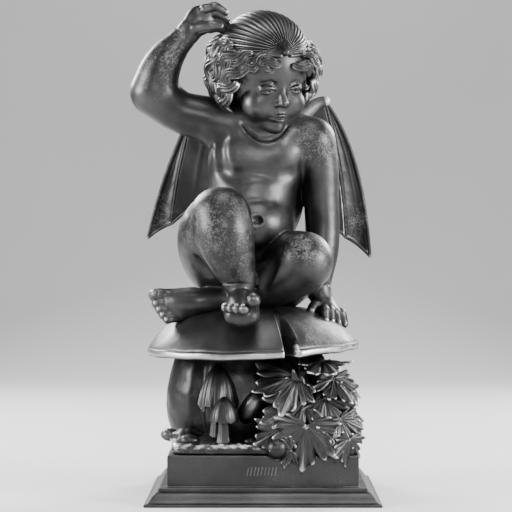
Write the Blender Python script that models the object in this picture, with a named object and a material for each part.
# A winged child seated on a toadstool, with leaves at its foot, on a moulded plinth.
# Metres, +Z up, the front towards -Y. The origin is the middle of the plinth's underside.
import math

import bpy
import numpy as np
from mathutils import Euler

# Plinth
PLINTH_WIDTH = 0.352
PLINTH_DEPTH = 0.330
PLINTH_FOOT_HEIGHT = 0.004
OGEE_HEIGHT = 0.017
FILLET_HEIGHT = 0.005
FILLET_OUTSET = 0.012
BLOCK_WIDTH = 0.286
BLOCK_DEPTH = 0.262
BLOCK_HEIGHT = 0.047
BLOCK_EDGE = 0.0025
ARC_STEPS = 5

# Ground slab, stem and cap of the toadstool
GROUND_HEIGHT = 0.016
GROUND_INSET = 0.004
CAP_WIDTH = 0.328
CAP_DEPTH = 0.296
CAP_RISE = 0.066
CAP_RIM = 0.011
CAP_OFF_CENTRE = -0.018
CAP_TILT = 0.010
CAP_HOLLOW = 0.006
CAP_UNDERSIDE_HEIGHT = 0.126
STEM_WIDTH = 0.212
STEM_DEPTH = 0.170
STEM_OFF_CENTRE = -0.026
STEM_LUMP = 0.019
NOTCH_LENGTH = 0.042
SMALL_CAP_HEIGHT = 0.064
STONE_LENGTH = 0.022
NUT_RADIUS = 0.0165

# Figure and foliage
FIGURE_HEIGHT = 0.475
WING_THICKNESS = 0.0065
LEAF_LENGTH = 0.070
LEAF_THICKNESS = 0.0065
STALK_RADIUS = 0.034
STATUE_TO_PLINTH = 0.0003

# Fineness of the solid
VOXELS_IN_HEIGHT = 270
SMOOTH_STEPS = 2
STATUE_TRIANGLES = 9400

GOLDEN_TURN = math.pi * (3 - math.sqrt(5))
BLOCK_BASE = PLINTH_FOOT_HEIGHT + OGEE_HEIGHT + FILLET_HEIGHT
BLOCK_TOP = BLOCK_BASE + BLOCK_HEIGHT
GROUND_TOP = BLOCK_TOP + STATUE_TO_PLINTH + GROUND_HEIGHT
CAP_UNDERSIDE = GROUND_TOP + CAP_UNDERSIDE_HEIGHT
SEAT = CAP_UNDERSIDE + CAP_RIM + CAP_RISE

# The figure is laid out in parts of its height, counted from the seat
PARTS_IN_FIGURE = 475
FIGURE_UNIT = FIGURE_HEIGHT / PARTS_IN_FIGURE
HEAD_CENTRE = (2, -8, 370)
HEAD_TURN = Euler([math.radians(a) for a in (20, -4, 26)], "XYZ")
SCALP_CENTRE = np.array([0.0, 4.0, -2.0])
SCALP_RADII = np.array([70.0, 78.0, 74.0])


class Clay:
    """Closed shells gathered into one mesh, to be fused by a remesh."""

    def __init__(self):
        self.points = []
        self.faces = []
        self.count = 0

    def add(self, points, faces):
        points = np.asarray(points, float).reshape(-1, 3)
        self.points.append(points)
        self.faces.extend(tuple(int(i) + self.count for i in face) for face in faces)
        self.count += len(points)

    def mesh(self, name):
        mesh = bpy.data.meshes.new(name)
        mesh.from_pydata(np.concatenate(self.points).tolist(), [], self.faces)
        mesh.validate()
        return mesh


def tube_faces(rings, sides):
    """Quads between successive rings, and a fan of corners at each end."""
    faces = []
    for i in range(rings - 1):
        for j in range(sides):
            k = (j + 1) % sides
            faces.append((i * sides + j, i * sides + k, (i + 1) * sides + k, (i + 1) * sides + j))
    faces.append(tuple(reversed(range(sides))))
    faces.append(tuple(range((rings - 1) * sides, rings * sides)))
    return faces


def smooth_line(stations, count):
    """Catmull-Rom curve through the rows of stations, read at count places."""
    rows = np.asarray(stations, float)
    padded = np.vstack([2 * rows[0] - rows[1], rows, 2 * rows[-1] - rows[-2]])
    t = np.linspace(0, len(rows) - 1, count)
    i = np.minimum(t.astype(int), len(rows) - 2)
    f = (t - i)[:, None]
    p0, p1, p2, p3 = (padded[i + k] for k in range(4))
    return 0.5 * (2 * p1 + (p2 - p0) * f + (2 * p0 - 5 * p1 + 4 * p2 - p3) * f**2
                  + (3 * p1 - p0 - 3 * p2 + p3) * f**3)


def limb_shell(stations, sides=12, steps=4, ball_rings=3):
    """A round limb through (x, y, z, radius) stations, with ball ends."""
    line = smooth_line(stations, steps * (len(stations) - 1) + 1)
    centres, radii = line[:, :3], line[:, 3]
    along = np.gradient(centres, axis=0)
    along /= np.linalg.norm(along, axis=1)[:, None]
    angles = np.linspace(0, math.pi / 2, ball_rings + 1)[1:] * 0.97
    head = [centres[0] - along[0] * radii[0] * math.sin(a) for a in reversed(angles)]
    tail = [centres[-1] + along[-1] * radii[-1] * math.sin(a) for a in angles]
    head_radii = [radii[0] * math.cos(a) for a in reversed(angles)]
    tail_radii = [radii[-1] * math.cos(a) for a in angles]
    centres = np.vstack([head, centres, tail])
    radii = np.concatenate([head_radii, radii, tail_radii])
    along = np.vstack([[along[0]] * ball_rings, along, [along[-1]] * ball_rings])
    across = np.cross(along[0], [0.31, 0.17, 0.93])
    points = []
    for centre, radius, direction in zip(centres, radii, along):
        across = across - direction * (across @ direction)
        across /= np.linalg.norm(across)
        other = np.cross(direction, across)
        turn = np.arange(sides) * 2 * math.pi / sides
        points.append(centre + radius * (np.outer(np.cos(turn), across) + np.outer(np.sin(turn), other)))
    return np.concatenate(points), tube_faces(len(centres), sides)


def ball_shell(centre, radii, turn=None, sides=16, rings=9):
    """An ellipsoid, turned by a rotation matrix if one is given."""
    lat = np.linspace(-0.98, 0.98, rings) * math.pi / 2
    lon = np.arange(sides) * 2 * math.pi / sides
    unit = np.stack([np.outer(np.cos(lat), np.cos(lon)), np.outer(np.cos(lat), np.sin(lon)),
                     np.outer(np.sin(lat), np.ones(sides))], axis=-1).reshape(-1, 3)
    points = unit * np.asarray(radii, float)
    if turn is not None:
        points = points @ np.array(turn).T
    return points + np.asarray(centre, float), tube_faces(rings, sides)


def slab_shell(front, thickness):
    """A closed slab: a grid of points and the same grid set back along its normals."""
    rows, columns, _ = front.shape
    normal = np.cross(np.gradient(front, axis=0), np.gradient(front, axis=1))
    normal /= np.maximum(np.linalg.norm(normal, axis=-1), 1e-9)[..., None]
    points = np.concatenate([(front + normal * thickness / 2).reshape(-1, 3),
                             (front - normal * thickness / 2).reshape(-1, 3)])
    back = rows * columns
    faces = []
    for i in range(rows - 1):
        for j in range(columns - 1):
            a, b = i * columns + j, i * columns + j + 1
            c, d = a + columns, b + columns
            faces.append((a, c, d, b))
            faces.append((back + a, back + b, back + d, back + c))
    edge = [j for j in range(columns)]
    edge += [i * columns + columns - 1 for i in range(1, rows)]
    edge += [(rows - 1) * columns + j for j in range(columns - 2, -1, -1)]
    edge += [i * columns for i in range(rows - 2, 0, -1)]
    for a, b in zip(edge, edge[1:] + edge[:1]):
        faces.append((a, b, back + b, back + a))
    return points, faces


def on_figure(points):
    """Figure units, from the seat, to metres."""
    return np.asarray(points, float) * FIGURE_UNIT + np.array([0, 0, SEAT])


def on_head(points):
    """Head units, from the middle of the skull, to metres."""
    turned = np.asarray(points, float) @ np.array(HEAD_TURN.to_matrix()).T
    return on_figure(turned + np.array(HEAD_CENTRE))


def limb(clay, stations, place=on_figure, **detail):
    points, faces = limb_shell(stations, **detail)
    clay.add(place(points), faces)


def ball(clay, centre, radii, place=on_figure, turn=None, **detail):
    points, faces = ball_shell(centre, radii, turn, **detail)
    clay.add(place(points), faces)


def add_torso(clay):
    ball(clay, (-14, 26, 50), (70, 58, 54))
    for x in (-48, 24):
        ball(clay, (x, 38, 42), (50, 50, 44))
    ball(clay, (-17, 4, 122), (66, 62, 66))
    ball(clay, (-20, 14, 168), (66, 55, 62))
    ball(clay, (-11, 14, 222), (76, 52, 72))
    ball(clay, (-10, 40, 165), (74, 38, 80))
    for x in (-44, 22):
        ball(clay, (x, -11, 236), (36, 20, 30))
    limb(clay, [(-66, 14, 282, 38), (-4, 16, 278, 46), (76, 16, 256, 37)])
    limb(clay, [(-2, 14, 285, 40), (0, 4, 322, 37), (4, -4, 342, 40)])


def add_raised_arm(clay):
    limb(clay, [(-60, 10, 282, 38), (-90, 8, 293, 36), (-132, 2, 305, 33), (-171, -5, 333, 36)])
    limb(clay, [(-170, -6, 336, 36), (-163, -12, 361, 32.5), (-152, -17, 384, 28), (-134, -21, 406, 21.5),
                (-115, -24, 425, 18.5)])
    ball(clay, (-96, -27, 446), (23, 13, 25), turn=Euler((0, math.radians(42), 0)).to_matrix())
    for i in range(4):
        base = np.array([-86 + 2 * i, -32 + 4 * i, 463 - 10 * i])
        knuckle = base + [15, 2, 1 - i]
        tip = knuckle + [14, 6, -6]
        limb(clay, [(*base, 7.2), (*knuckle, 6.8), (*tip, 5.6)], sides=8)
    limb(clay, [(-100, -38, 434, 8), (-84, -44, 430, 7.4), (-68, -44, 430, 6)], sides=8)


def add_resting_arm(clay):
    limb(clay, [(78, 16, 262, 34), (88, 19, 222, 31), (92, 22, 172, 28), (94, 23, 126, 27.5),
                (93, 18, 84, 26), (89, 8, 46, 20.5), (87, 0, 20, 17.5)])
    limb(clay, [(88, 2, 26, 16), (96, -5, 4, 16)])
    ball(clay, (99, -8, -3), (21, 26, 14.5), turn=Euler((0.35, 0.35, 0.6)).to_matrix())
    for i in range(4):
        base = np.array([91 + 8 * i, -24 + 7.4 * i, -8 - 2 * i])
        knuckle = base + [4 + 1.0 * i, -14 + 2 * i, -1]
        tip = knuckle + [1.5 + 1.2 * i, -5 + 2 * i, -16]
        limb(clay, [(*base, 8.2), (*knuckle, 8), (*tip, 6.8)], sides=8)
    limb(clay, [(88, -14, 3, 9.5), (79, -28, -1, 8.6), (74, -38, -8, 7.2)], sides=8)


TOES = (
    # place across the foot, reach as a share of its length, radius of the tip
    (17, 0.97, 10.5), (3, 0.965, 7.6), (-7, 0.93, 7.2), (-16, 0.89, 6.8), (-24, 0.84, 6.4),
)


def add_foot(clay, heel, toe, up, big_toe_side, curl=0):
    """A foot from heel to toe, with its upper side towards up and its toes in a row, curled up by curl."""
    heel, toe, up = (np.array(v, float) for v in (heel, toe, up))
    ahead = toe - heel
    length = np.linalg.norm(ahead)
    ahead /= length
    up -= ahead * (up @ ahead)
    up /= np.linalg.norm(up)
    side = np.cross(ahead, up) * big_toe_side

    def at(along, out, high):
        return heel + ahead * along * length + side * out + up * high

    limb(clay, [(*at(0.10, 0, 2), 21), (*at(0.38, -1, 6), 21), (*at(0.62, 2, 1), 19), (*at(0.76, 2, -3), 15)])
    limb(clay, [(*at(0.10, 0, -2), 19), (*at(0.45, -10, -5), 15), (*at(0.74, -12, -6), 13)])
    limb(clay, [(*at(0.45, 9, -2), 17), (*at(0.76, 13, -4), 13.5)])
    limb(clay, [(*at(0.80, 13, -9), 14), (*at(0.77, -14, -9), 13)])
    for k, (out, reach, radius) in enumerate(TOES):
        raised = curl * (2.5 if k == 0 else 1)
        root = (*at(0.76 - 0.03 * k, out * 0.9, -4), radius * 0.95)
        joint = (*at(reach - 0.06, out, 1 + 0.7 * raised), radius * 0.82)
        limb(clay, [root, joint, (*at(reach, out, raised - 2), radius)], sides=8)


def add_raised_leg(clay):
    limb(clay, [(-48, 18, 46, 54), (-70, -18, 78, 57), (-78, -52, 110, 53), (-66, -88, 138, 44)])
    limb(clay, [(-62, -92, 138, 44), (-59, -98, 112, 45), (-48, -92, 76, 36), (-36, -84, 40, 25)])
    add_foot(clay, heel=(-34, -62, 8), toe=(-31, -170, -8), up=(0, 0, 1), big_toe_side=-1, curl=9)


def add_folded_leg(clay):
    limb(clay, [(26, 14, 46, 54), (48, -28, 64, 52), (62, -74, 71, 44)])
    limb(clay, [(64, -78, 68, 43), (40, -66, 48, 39), (-10, -46, 26, 33), (-58, -34, 12, 22)])
    add_foot(clay, heel=(-56, -38, 8), toe=(-167, -58, 2), up=(-0.15, -1, 0.35), big_toe_side=1)


def add_head(clay):
    ball(clay, (0, 6, 10), (66, 76, 66), on_head)
    ball(clay, (0, -28, 14), (54, 44, 46), on_head)
    ball(clay, (0, -30, -38), (49, 42, 46), on_head)
    for side in (-1, 1):
        ball(clay, (side * 27, -44, -42), (25, 23, 25), on_head)
        limb(clay, [(side * 8, -71, 3, 6), (side * 24, -67, 8, 7), (side * 41, -52, 3, 6)], on_head, sides=8)
        ball(clay, (side * 22, -59, -13), (13, 11, 9), on_head)
        ball(clay, (side * 9, -76, -37), (6.5, 6.5, 5.5), on_head)
        ball(clay, (side * 66, 2, -20), (7, 15, 21), on_head)
    ball(clay, (0, -55, -76), (18, 17, 14), on_head)
    ball(clay, (0, -32, -78), (38, 34, 20), on_head)
    limb(clay, [(0, -66, -4, 7), (0, -75, -20, 7.5), (0, -82, -33, 9)], on_head, sides=8)
    limb(clay, [(-15, -67, -57, 4), (0, -76, -54, 5), (15, -67, -57, 4)], on_head, sides=8)
    limb(clay, [(-11, -67, -65, 5), (0, -73, -65, 6), (11, -67, -65, 5)], on_head, sides=8)


def scalp(azimuth, latitude, lift):
    """A point over the scalp. Azimuth runs from the face round to the left ear, in radians."""
    unit = np.stack([np.sin(azimuth) * np.cos(latitude), -np.cos(azimuth) * np.cos(latitude),
                     np.sin(latitude)], axis=-1)
    return SCALP_CENTRE + unit * (SCALP_RADII + np.asarray(lift)[..., None])


def lock_line(azimuth, latitude, heading, length, hook, steps=9):
    """Centre line of one lock: it wanders down the scalp from its root and hooks round at its end."""
    t = np.linspace(0, 1, steps)
    turning = heading + hook * (0.5 * np.sin(2.6 * math.pi * t) + 3.0 * np.clip(t - 0.45, 0, 1) ** 1.4)
    stride = length / (steps - 1) / 74 * (1.15 - 0.5 * t)
    down = latitude - np.concatenate([[0], np.cumsum(np.cos(turning) * stride)[:-1]])
    round_by = np.concatenate([[0], np.cumsum(np.sin(turning) * stride)[:-1]])
    return scalp(azimuth + round_by / max(math.cos(latitude), 0.5), down, 4 + 11 * np.sin(math.pi * t**0.7))


LOCK_ROWS = (
    # azimuth of first and last lock, locks on a side, root latitude, length, thickness
    (8, 172, 8, 38, 58, 9.5),
    (66, 176, 6, 16, 56, 10.0),
    (72, 172, 5, -8, 54, 9.5),
    (112, 168, 3, -32, 44, 8.5),
)


def lock_layout():
    """Root, heading, length, hook and thickness of every lock, both sides."""
    layout = []
    for first, last, count, root, length, thick in LOCK_ROWS:
        for side in (-1, 1):
            for k in range(count):
                azimuth = math.radians(first + (last - first) * k / (count - 1))
                sway = math.sin(GOLDEN_TURN * (7 * k + root + 3 * side))
                forehead = max(0.0, math.cos(azimuth)) ** 2
                heading = side * (0.25 + 0.75 * forehead) + 0.25 * sway
                layout.append((side * azimuth, math.radians(root - 7 * forehead + 2 * sway), heading,
                               length * (1 - 0.35 * forehead), side * (0.9 if k % 2 else -0.8), thick))
    return layout


def add_hair(clay):
    ball(clay, (0, 10, 2), (73, 76, 70), on_head)
    ball(clay, (0, 26, -28), (62, 52, 48), on_head)
    for azimuth, latitude, heading, length, hook, thick in lock_layout():
        line = lock_line(azimuth, latitude, heading, length, hook)
        radii = thick * (1 - 0.45 * np.linspace(0, 1, len(line)))
        limb(clay, np.column_stack([line, radii]), on_head, sides=8, steps=1, ball_rings=2)


def add_ribbed_cap(clay, ribs=17):
    """A close cap whose ribs fan out from the middle of its front edge."""
    centre = np.array([0, 8, 31])
    ball(clay, centre, (62, 70, 54), on_head)
    front = np.array([0, -62, 44])
    for k in range(ribs):
        spread = math.radians(-86 + 172 * k / (ribs - 1))
        t = np.linspace(0.04, 1, 9)[:, None]
        over = t * (math.pi * 0.62 + 0.25 * math.cos(spread))
        start = (front - centre) / [62, 70, 54]
        start /= np.linalg.norm(start)
        side = np.array([1.0, 0, 0])
        upward = np.cross(side, start)
        aim = math.sin(spread) * side + math.cos(spread) * -upward
        line = centre + (np.cos(over) * start + np.sin(over) * aim) * [64, 72, 56]
        radii = 1.5 + 4.4 * np.sin(np.clip(t[:, 0] * 1.25, 0, 1) * math.pi / 2)
        limb(clay, np.column_stack([line, radii]), on_head, sides=6, steps=1, ball_rings=1)


WINGS = (
    # root, knuckle, bow of the leading edge, its tip, tip of the inner rib, foot of the inner edge
    ((42, 52, 285), (99, 66, 326), (160, 86, 252), (173, 92, 78), (134, 86, 108), (48, 62, 186)),
    ((-50, 52, 290), (-108, 66, 318), (-158, 86, 226), (-186, 94, 108), (-148, 88, 130), (-66, 62, 190)),
)


def bowed(start, bow, end, t):
    """Quadratic curve from start to end, pulled towards bow."""
    start, bow, end = (np.array(v, float) for v in (start, bow, end))
    t = np.asarray(t, float)[..., None]
    return (1 - t) ** 2 * start + 2 * t * (1 - t) * bow + t**2 * end


def membrane(first, second, scallop, rows=9, columns=7):
    """Grid between two edge curves, drawn in along its free end and bellied backwards."""
    across = np.linspace(0, 1, columns)
    grid = np.zeros((rows, columns, 3))
    for j, a in enumerate(across):
        reach = np.linspace(0, 1 - scallop * math.sin(math.pi * a), rows)
        grid[:, j] = (1 - a) * first(reach) + a * second(reach)
        grid[:, j, 1] += 7 * math.sin(math.pi * a) * reach
    return grid


def add_wings(clay):
    for root, knuckle, bow, tip, rib_tip, inner_foot in WINGS:
        middle = (np.array(knuckle) + rib_tip) / 2 + (np.array(bow) - knuckle) * [0.2, 0, 0]

        def lead(t):
            return bowed(knuckle, bow, tip, t)

        def rib(t):
            return bowed(knuckle, middle, rib_tip, t)

        def inner(t):
            return bowed(root, (np.array(root) + inner_foot) / 2, inner_foot, t)

        steps = np.linspace(0, 1, 8)
        for grid in (membrane(lead, rib, 0.02), membrane(rib, inner, 0.04)):
            points, faces = slab_shell(grid, WING_THICKNESS / FIGURE_UNIT)
            clay.add(on_figure(points), faces)
        for line, thick in ((lead(steps), 5.2), (rib(steps), 4.4), (inner(steps), 5)):
            limb(clay, np.column_stack([line, thick * (1 - 0.35 * steps)]), sides=8, steps=1)
        arch = (np.array(root) + knuckle) / 2 + [0, 0, 7]
        limb(clay, [(*root, 15), (*arch, 11), (*knuckle, 9)], sides=10)


def cap_radius(angle):
    """Share of the cap's radius at each angle: a wavy rim with one torn notch at the right of the front."""
    wave = 1 + 0.012 * np.sin(3 * angle + 0.6) + 0.010 * np.sin(5 * angle + 2.1)
    from_notch = np.abs((angle - math.radians(-68) + math.pi) % (2 * math.pi) - math.pi)
    return wave * (1 - 2 * NOTCH_LENGTH / CAP_DEPTH * np.clip(1 - from_notch / math.radians(4.5), 0, 1))


def add_toadstool_cap(clay, sides=80):
    """The cap as a turned profile: flat-topped dome, rounded rim, hollow underside."""
    angle = np.arange(sides) * 2 * math.pi / sides
    share = cap_radius(angle)
    reach = np.linspace(0.04, 1, 12)
    top = [(r, CAP_RIM + CAP_RISE * (1 - r**3.9)) for r in reach[:-1]]
    rim = [(1.0, CAP_RIM * 1.2), (1.012, CAP_RIM * 0.5), (0.985, 0.0)]
    under = [(0.9, CAP_HOLLOW / 3), (0.7, CAP_HOLLOW), (0.4, CAP_HOLLOW), (0.04, CAP_HOLLOW)]
    lifted = CAP_TILT * np.clip(np.cos(angle), 0, 1)
    rings = []
    for r, high in top + rim + under:
        edge = min(1.0, r) ** 3
        grow = 1 + (share - 1) * edge
        rings.append(np.column_stack([
            CAP_OFF_CENTRE + CAP_WIDTH / 2 * r * grow * np.cos(angle),
            CAP_DEPTH / 2 * r * grow * np.sin(angle),
            CAP_UNDERSIDE + high + lifted * edge]))
    rings.reverse()
    clay.add(np.concatenate(rings), tube_faces(len(rings), sides))


def on_ground(shares):
    """A place under the cap: shares of the block's half width and half depth, and of the room above it."""
    reach = np.array([BLOCK_WIDTH / 2, BLOCK_DEPTH / 2, CAP_UNDERSIDE - BLOCK_TOP])
    return np.array([0, 0, BLOCK_TOP]) + np.asarray(shares, float) * reach


def root_limb(clay, stations, **detail):
    """A limb whose stations are places on the ground, each with its share of the thickest stalk."""
    line = [(*on_ground(station[:3]), STALK_RADIUS * station[3]) for station in stations]
    clay.add(*limb_shell(line, **detail))


def add_stem(clay):
    """A swollen stem, wider than deep, with a lump that leans out at its front."""
    high = CAP_UNDERSIDE_HEIGHT + GROUND_HEIGHT * 0.5
    t = np.linspace(0, 1, 9)
    swell = 0.86 + 0.16 * np.sin(math.pi * t**0.8)
    sides = 40
    turn = np.arange(sides) * 2 * math.pi / sides
    crease = 1 - 0.07 * np.maximum(0, np.cos(5 * turn + 4.27)) ** 4
    rings = [np.column_stack([
        CAP_OFF_CENTRE + STEM_OFF_CENTRE + STEM_WIDTH / 2 * s * crease * np.cos(turn),
        STEM_DEPTH * (0.07 + s * crease * np.sin(turn) / 2),
        np.full(sides, GROUND_TOP - GROUND_HEIGHT * 0.5 + high * h)]) for s, h in zip(swell, t)]
    clay.add(np.concatenate(rings), tube_faces(len(rings), sides))
    lump, faces = ball_shell((0, 0, 0), [STEM_LUMP, STEM_LUMP * 0.95, STEM_LUMP * 1.4])
    lump[:, 0] += 0.4 * lump[:, 2]
    clay.add(lump + on_ground((-0.117, -0.55, 0.47)), faces)


STONES = (
    # place on the ground, share of the largest stone
    ((-0.78, -0.75), 0.68), ((-0.89, 0.3), 0.82), ((0.5, 0.74), 1.0), ((-0.42, 0.76), 0.73),
    ((-0.13, -0.8), 0.5), ((0.86, 0.46), 0.64),
)


def add_ground(clay):
    """A rounded slab with a mound and a few stones."""
    half = np.array([BLOCK_WIDTH / 2 - GROUND_INSET, BLOCK_DEPTH / 2 - GROUND_INSET])
    sides = 64
    turn = np.arange(sides) * 2 * math.pi / sides
    square = 1 / np.maximum(np.abs(np.cos(turn)) ** 14 + np.abs(np.sin(turn)) ** 14, 1e-9) ** (1 / 14)
    rough = 1 + 0.006 * np.sin(9 * turn + 1) + 0.006 * np.sin(17 * turn)
    levels = ((0.985, -0.004), (1.0, 0.0), (1.0, 0.35), (0.985, 0.75), (0.95, 1.0), (0.8, 1.25),
              (0.5, 1.9), (0.1, 2.2))
    rings = [np.column_stack([
        half[0] * s * square * rough * np.cos(turn), half[1] * s * square * rough * np.sin(turn),
        np.full(sides, BLOCK_TOP + GROUND_HEIGHT * h)]) for s, h in levels]
    clay.add(np.concatenate(rings), tube_faces(len(rings), sides))
    for place, share in STONES:
        radii = STONE_LENGTH * share * np.array([1, 0.9, 0.6])
        clay.add(*ball_shell(on_ground((*place, 0.13)), radii, sides=10, rings=6))


def turned_shell(centre, outline, sides=18, flute=0.0, flutes=9):
    """A round thing turned about Z, from (radius, height) pairs listed from its foot up."""
    turn = np.arange(sides) * 2 * math.pi / sides
    wave = 1 + flute * np.cos(flutes * turn)
    rings = [np.column_stack([r * wave * np.cos(turn), r * wave * np.sin(turn), np.full(sides, float(z))])
             + np.asarray(centre, float) for r, z in outline]
    return np.concatenate(rings), tube_faces(len(rings), sides)


SMALL_TOADSTOOLS = (
    # place on the ground, then in parts of the tallest cap: stem radius, stem height, cap radius, cap height,
    # and the fluting
    ((-0.48, -0.58, 0.04), 0.18, 0.95, 0.47, 1.03, 0.06),
    ((-0.41, -0.80, 0.02), 0.16, 0.70, 0.34, 0.59, 0.02),
)


# Outline of a small cap, in shares of its radius and height
BELL = ((0.85, -0.05), (1.0, 0.03), (0.93, 0.3), (0.66, 0.65), (0.25, 0.96), (0.02, 1.0))


def add_small_toadstools(clay):
    for place, *shares, flute in SMALL_TOADSTOOLS:
        stem, high, wide, tall = (SMALL_CAP_HEIGHT * share for share in shares)
        outline = [(stem, 0), (stem * 0.85, high * 0.5), (stem * 0.8, high)]
        outline += [(wide * out, high + tall * up) for out, up in BELL]
        clay.add(*turned_shell(on_ground(place), outline, 27, flute))


LEAVES = (
    # where the lobes meet, direction of the middle one, way the upper face looks, then the share of the
    # longest leaf and the droop
    ((0.45, -1.05, 0.32), (-0.10, -0.02, -1.0), (0.0, -1.0, 0.05), 0.96, 0.0),
    ((0.36, -0.78, 0.80), (-1.0, -0.40, -0.16), (0.0, -0.75, 0.65), 1.0, 0.30),
    ((0.42, -0.90, 0.54), (-0.92, -0.20, -0.40), (0.0, -1.0, 0.35), 1.0, 0.16),
    ((0.20, -0.98, 0.27), (-0.88, -0.15, -0.46), (-0.1, -1.0, 0.30), 0.66, 0.10),
    ((0.30, -1.05, 0.06), (-0.85, -0.02, -0.25), (0.0, -1.0, -0.10), 0.43, 0.0),
    ((0.89, -1.05, 0.18), (-0.16, -0.02, -1.0), (0.9, -0.8, 0.10), 0.60, 0.04),
    ((0.62, -0.66, 0.95), (0.40, -1.0, -0.05), (0.0, -0.25, 0.9), 0.71, 0.24),
    ((0.74, -0.76, 0.78), (0.55, -0.40, -0.62), (0.5, -0.9, 0.5), 0.66, 0.20),
    ((0.64, -0.86, 0.58), (0.55, -0.30, -0.68), (0.2, -1.0, 0.4), 0.74, 0.16),
    ((0.80, -0.94, 0.38), (0.38, -0.12, -0.88), (0.5, -0.9, 0.3), 0.66, 0.12),
    ((0.92, -0.23, 0.52), (0.45, -0.10, -0.90), (1.0, -0.1, 0.4), 0.94, 0.22),
    ((0.86, 0.11, 0.79), (0.55, 0.40, -0.50), (1.0, 0.1, 0.5), 0.83, 0.30),
    ((0.85, 0.38, 0.42), (0.40, 0.40, -0.75), (1.0, 0.2, 0.4), 0.77, 0.22),
)
STALKS = (
    # places on the ground along each stalk, and the share of the thickest stalk there
    ((0.46, -0.31, 0.14, 0.78), (0.47, -0.42, 0.42, 0.95), (0.44, -0.36, 0.73, 0.98),
     (0.40, -0.23, 0.98, 0.88)),
    ((0.70, -0.15, 0.14, 0.78), (0.73, -0.08, 0.42, 0.88), (0.69, 0.00, 0.77, 0.78)),
    ((0.52, -0.60, 0.10, 0.35), (0.56, -0.74, 0.42, 0.38), (0.60, -0.62, 0.72, 0.38),
     (0.58, -0.44, 0.97, 0.38)),
)
NUTS = (
    # place on the ground, share of the largest nut each way
    ((0.145, -1.03, 0.075), (1.0, 1.0, 1.0)), ((-1.0, -0.40, 0.18), (0.85, 0.66, 0.6)),
)


def leaf_grid(base, ahead, face, length, droop, rows=8, columns=61):
    """A leaf in polar places about its stalk: five lobes with three teeth each, drooping towards its edge."""
    ahead, face = np.array(ahead, float), np.array(face, float)
    ahead /= np.linalg.norm(ahead)
    face -= ahead * (face @ ahead)
    face /= np.linalg.norm(face)
    side = np.cross(ahead, face)
    lobe_angle = 0.86
    a = np.linspace(-2.5 * lobe_angle, 2.5 * lobe_angle, columns)[None, :]
    s = np.linspace(0.02, 1, rows)[:, None]
    place = a / lobe_angle
    across = 2 * (place - np.round(place))
    outline = (1 - 0.075 * place**2) * (1 - 0.36 * np.abs(across) ** 1.6) + 0.06 * np.cos(3 * math.pi * across)
    r = outline * s
    height = length * (-droop * r**2 + 0.035 * np.cos(math.pi * across) * r**1.5)
    return (np.array(base, float) + (length * r * np.sin(a))[..., None] * side
            + (length * r * np.cos(a))[..., None] * ahead + height[..., None] * face)


def add_leaves(clay):
    for stalk, ahead, face, share, droop in LEAVES:
        grid = leaf_grid(on_ground(stalk), ahead, face, LEAF_LENGTH * share, droop)
        clay.add(*slab_shell(grid, LEAF_THICKNESS))
    for stations in STALKS:
        root_limb(clay, stations)
    for place, shares in NUTS:
        clay.add(*ball_shell(on_ground(place), NUT_RADIUS * np.array(shares), sides=12, rings=7))


CORNERS = ((-1, -1), (1, -1), (1, 1), (-1, 1))


def plinth_mesh():
    """Square rings of one moulding profile, from the underside up."""
    spread = (PLINTH_WIDTH - BLOCK_WIDTH) / 2
    run = spread - FILLET_OUTSET
    profile = [(spread, 0.0), (spread, PLINTH_FOOT_HEIGHT)]
    for k in range(1, ARC_STEPS + 1):
        share = k / ARC_STEPS
        rise = share - math.sin(2 * math.pi * share) / (2 * math.pi) * 0.8
        profile.append((spread - run * share, PLINTH_FOOT_HEIGHT + OGEE_HEIGHT * rise))
    profile.append((FILLET_OUTSET, BLOCK_BASE))
    profile += [(0.0, BLOCK_BASE), (0.0, BLOCK_TOP - BLOCK_EDGE), (-BLOCK_EDGE, BLOCK_TOP)]
    depth_share = (PLINTH_DEPTH - BLOCK_DEPTH) / (PLINTH_WIDTH - BLOCK_WIDTH)
    points = []
    for out, z in profile:
        deep = out * depth_share if out > 0 else out
        points += [(cx * (BLOCK_WIDTH / 2 + out), cy * (BLOCK_DEPTH / 2 + deep), z) for cx, cy in CORNERS]
    mesh = bpy.data.meshes.new("plinth")
    mesh.from_pydata(points, [], tube_faces(len(profile), 4))
    return mesh


def metal(name, colour, roughness):
    material = bpy.data.materials.new(name)
    material.use_nodes = True
    shader = material.node_tree.nodes["Principled BSDF"]
    shader.inputs["Base Color"].default_value = (*colour, 1)
    shader.inputs["Metallic"].default_value = 0.9
    shader.inputs["Roughness"].default_value = roughness
    return material


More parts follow.
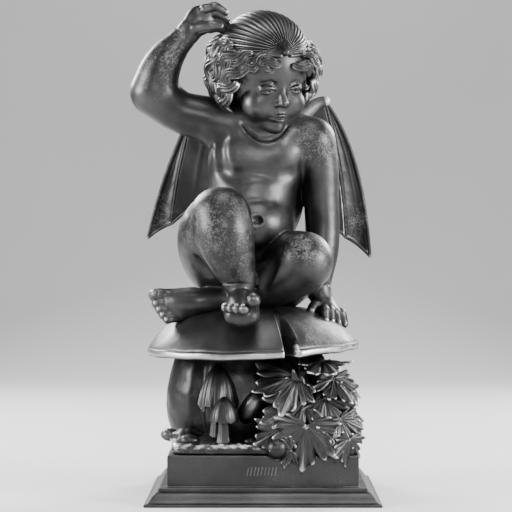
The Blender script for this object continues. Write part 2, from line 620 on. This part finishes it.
def placed(name, mesh, material):
    thing = bpy.data.objects.new(name, mesh)
    bpy.context.scene.collection.objects.link(thing)
    if material:
        mesh.materials.append(material)
    return thing


def plinth_cutter():
    """A block a clearance larger than the plinth's, for the statue to stand on and hang over."""
    half_width = BLOCK_WIDTH / 2 + STATUE_TO_PLINTH
    half_depth = BLOCK_DEPTH / 2 + STATUE_TO_PLINTH
    levels = (-BLOCK_TOP, BLOCK_TOP + STATUE_TO_PLINTH)
    points = [(cx * half_width, cy * half_depth, z) for z in levels for cx, cy in CORNERS]
    mesh = bpy.data.meshes.new("plinth_clearance")
    mesh.from_pydata(points, [], tube_faces(2, 4))
    cutter = placed("plinth_clearance", mesh, None)
    cutter.hide_render = True
    cutter.display_type = "WIRE"
    return cutter


def build_statue():
    clay = Clay()
    figure = (add_torso, add_raised_arm, add_resting_arm, add_raised_leg, add_folded_leg, add_head, add_hair,
              add_ribbed_cap, add_wings)
    seat_and_ground = (add_toadstool_cap, add_stem, add_ground, add_small_toadstools, add_leaves)
    for add in figure + seat_and_ground:
        add(clay)
    statue = placed("statue", clay.mesh("statue"), metal("dark_cast_metal", (0.11, 0.11, 0.11), 0.42))
    fuse = statue.modifiers.new("Fuse", "REMESH")
    fuse.mode = "VOXEL"
    fuse.voxel_size = (SEAT + FIGURE_HEIGHT) / VOXELS_IN_HEIGHT
    fuse.use_smooth_shade = True
    soften = statue.modifiers.new("Soften", "SMOOTH")
    soften.factor = 0.5
    soften.iterations = SMOOTH_STEPS
    bpy.context.view_layer.update()
    fine = statue.evaluated_get(bpy.context.evaluated_depsgraph_get()).data
    fine.calc_loop_triangles()
    thin = statue.modifiers.new("Thin", "DECIMATE")
    thin.ratio = STATUE_TRIANGLES / len(fine.loop_triangles)
    seat = statue.modifiers.new("Seat", "BOOLEAN")
    seat.operation = "DIFFERENCE"
    seat.object = plinth_cutter()
    return statue


def main():
    for old in list(bpy.data.objects):
        bpy.data.objects.remove(old)
    build_statue()
    placed("plinth", plinth_mesh(), metal("dark_cast_plinth", (0.10, 0.10, 0.10), 0.4))


main()
